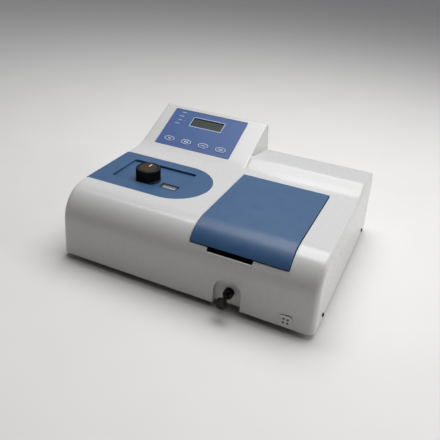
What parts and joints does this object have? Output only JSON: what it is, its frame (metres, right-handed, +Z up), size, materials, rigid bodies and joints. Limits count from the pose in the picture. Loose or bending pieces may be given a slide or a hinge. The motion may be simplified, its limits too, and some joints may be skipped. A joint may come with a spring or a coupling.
{
  "type": "spectrophotometer",
  "caption": "Bench spectrophotometer with sloping console, wavelength knob and dial, hinged sample lid and a pull rod that moves the cuvette carriage.",
  "frame": {"origin": "on the surface it stands on, under the middle of its bounding box", "axes": "+X to the operator's right along the front, +Y from the front to the back, +Z up"},
  "size_m": [0.4634, 0.397, 0.1824],
  "materials": {
    "shell_white": "glossy moulded plastic, off-white",
    "trim_blue": "fine satin moulded plastic, steel blue",
    "panel_blue": "printed membrane, matt blue",
    "key_print": "printed membrane key, pale ring",
    "knob_black": "satin black moulded plastic",
    "rubber_black": "matt",
    "sheet_steel": "zinc-plated sheet",
    "rod_chrome": "polished",
    "black_metal": "matt black coat",
    "cast_alloy": "as cast",
    "gear_brass": "machined",
    "dial_white": "printed white scale",
    "clear_plastic": "clear",
    "mirror_glass": "coated",
    "display_glass": "dark liquid crystal cell",
    "board_green": "circuit board laminate",
    "lamp_ceramic": "matt"
  },
  "bodies": {
    "chassis": {"top_cover": "shell_white", "base_plate": "sheet_steel", "rear_panel": "sheet_steel", "foot_front_left": "rubber_black", "foot_back_left": "rubber_black", "foot_front_right": "rubber_black", "foot_back_right": "rubber_black", "screw_front_left": "knob_black", "screw_back_left": "knob_black", "screw_front_right": "knob_black", "screw_back_right": "knob_black", "front_badge": "shell_white", "power_inlet": "knob_black", "switch_frame": "knob_black", "serial_port": "sheet_steel", "dial_bezel": "trim_blue", "dial_window": "clear_plastic", "knob_bushing": "gear_brass", "drive_bridge": "sheet_steel", "monochromator_box": "cast_alloy", "monochromator_cover": "cast_alloy", "entrance_slit": "black_metal", "exit_slit": "black_metal", "collimating_mirror": "mirror_glass", "focusing_mirror": "mirror_glass", "lamp_housing": "black_metal", "lamp_socket": "lamp_ceramic", "halogen_lamp": "clear_plastic", "condenser_lens": "clear_plastic", "detector_housing": "cast_alloy", "photocell": "dial_white", "sample_chamber": "black_metal", "carriage_rails": "rod_chrome", "rod_bushing": "knob_black", "lid_hinge_pin": "sheet_steel", "keypad_overlay": "panel_blue", "indicator_lights": "clear_plastic", "lcd_module": "display_glass", "display_board": "board_green", "main_board": "board_green", "transformer": "sheet_steel"},
    "dial": {"dial_gear": "gear_brass", "wavelength_dial": "dial_white", "dial_shaft": "sheet_steel", "wavelength_cam": "sheet_steel"},
    "knob": {"wavelength_knob": "knob_black", "knob_shaft": "sheet_steel"},
    "grating_mount": {"grating_shaft": "sheet_steel", "grating_lever": "sheet_steel", "grating_table": "cast_alloy", "grating": "mirror_glass"},
    "lid": {"sample_lid": "trim_blue"},
    "carriage": {"cuvette_carriage": "black_metal", "pull_rod": "rod_chrome", "rod_knob": "knob_black"},
    "key_1": {"key_1": "key_print"},
    "key_2": {"key_2": "key_print"},
    "key_3": {"key_3": "key_print"},
    "key_4": {"key_4": "key_print"},
    "rocker": {"power_rocker": "knob_black"}
  },
  "joints": [
    {"name": "dial_turn", "type": "hinge", "parent": "chassis", "child": "dial", "pos_m": [-0.0845, 0.0055, 0.115], "axis": [0, 0, 1], "range_deg": [-150, 150]},
    {"name": "knob_turn", "type": "hinge", "parent": "chassis", "child": "knob", "pos_m": [-0.132, -0.0425, 0.137], "axis": [0, 0, 1], "range_deg": [-975.5, 975.5]},
    {"name": "grating_turn", "type": "hinge", "parent": "chassis", "child": "grating_mount", "pos_m": [-0.1065, -0.0345, 0.06], "axis": [0, 0, 1], "range_deg": [-12.95, 12.95]},
    {"name": "lid_hinge", "type": "hinge", "parent": "chassis", "child": "lid", "pos_m": [0.094, 0.0555, 0.126], "axis": [-1, 0, 0], "range_deg": [0, 98]},
    {"name": "rod_pull", "type": "slide", "parent": "chassis", "child": "carriage", "axis": [0, -1, 0], "range_m": [0, 0.06]},
    {"name": "key_1_press", "type": "slide", "parent": "chassis", "child": "key_1", "axis": [0, 0.4298, -0.9029], "range_m": [0, 0.0006], "stiffness_N_per_m": 400, "springref_m": -0.0004},
    {"name": "key_2_press", "type": "slide", "parent": "chassis", "child": "key_2", "axis": [0, 0.4298, -0.9029], "range_m": [0, 0.0006], "stiffness_N_per_m": 400, "springref_m": -0.0004},
    {"name": "key_3_press", "type": "slide", "parent": "chassis", "child": "key_3", "axis": [0, 0.4298, -0.9029], "range_m": [0, 0.0006], "stiffness_N_per_m": 400, "springref_m": -0.0004},
    {"name": "key_4_press", "type": "slide", "parent": "chassis", "child": "key_4", "axis": [0, 0.4298, -0.9029], "range_m": [0, 0.0006], "stiffness_N_per_m": 400, "springref_m": -0.0004},
    {"name": "rocker_tilt", "type": "hinge", "parent": "chassis", "child": "rocker", "pos_m": [0.122, 0.1905, 0.048], "axis": [1, 0, 0], "range_deg": [0, 10.4]}
  ],
  "couplings": [
    {"joint": "knob_turn", "follows": "dial_turn", "ratio": -6.5},
    {"joint": "grating_turn", "follows": "dial_turn", "ratio": 0.0857}
  ]
}
